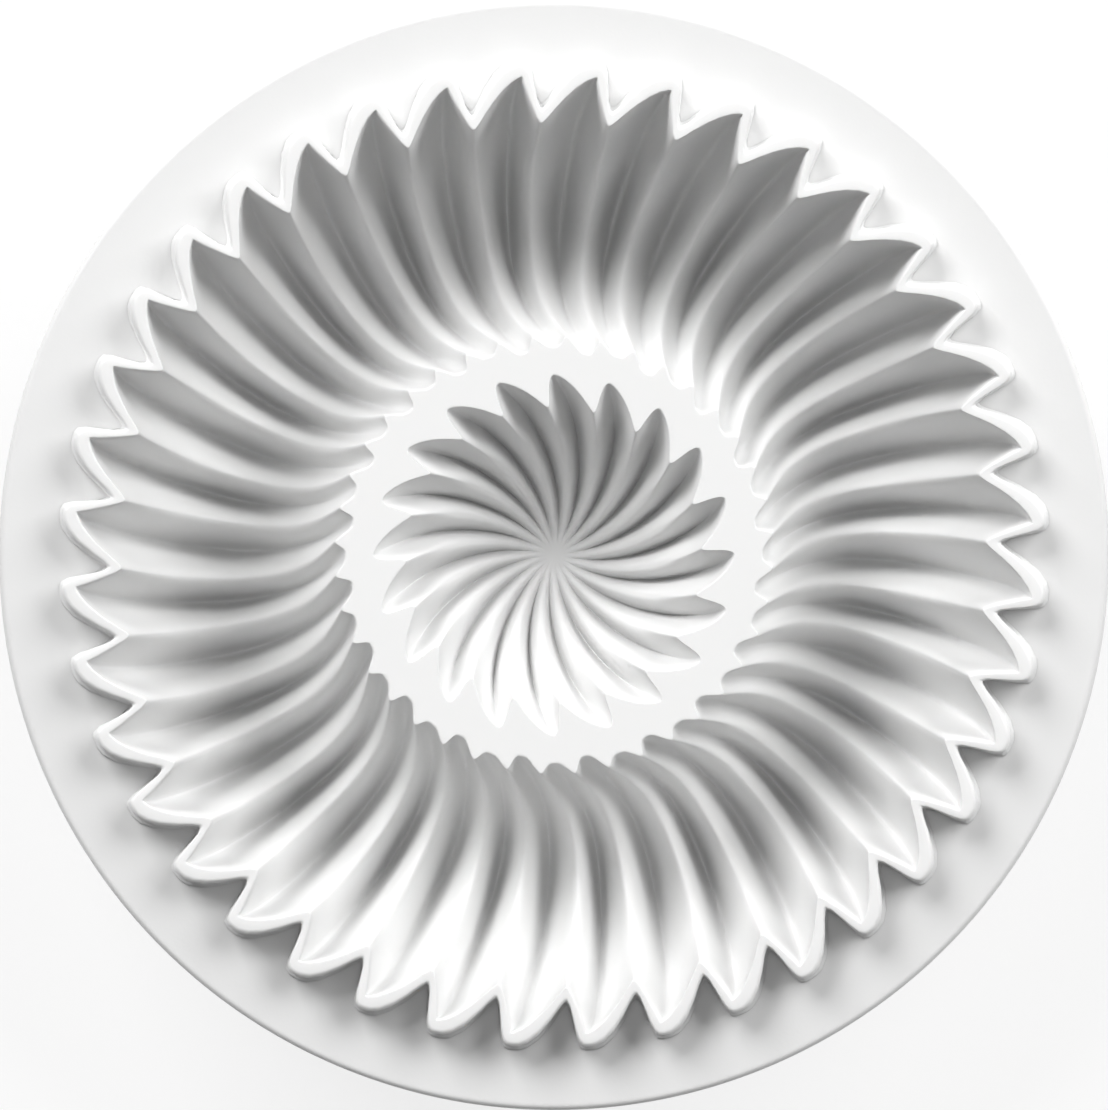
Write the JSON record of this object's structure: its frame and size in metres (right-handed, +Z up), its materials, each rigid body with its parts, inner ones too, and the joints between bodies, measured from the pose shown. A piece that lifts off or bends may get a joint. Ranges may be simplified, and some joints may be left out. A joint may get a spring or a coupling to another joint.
{
  "type": "silicone cake mould",
  "caption": "Round silicone cake mould with a twisted fluted ring cavity, a swirl cup in its hub, and a stiff flat carrier ring under its fluted lip.",
  "frame": {"origin": "middle of the flat base that the mould stands on", "axes": "+Z up through the hub, +X to the right and +Y to the top of the picture"},
  "size_m": [0.21, 0.21, 0.048],
  "materials": {
    "silicone": "satin",
    "stiff_plastic": "matte"
  },
  "bodies": {
    "root": {"mould_body": "silicone", "carrier_ring": "stiff_plastic"}
  },
  "joints": []
}
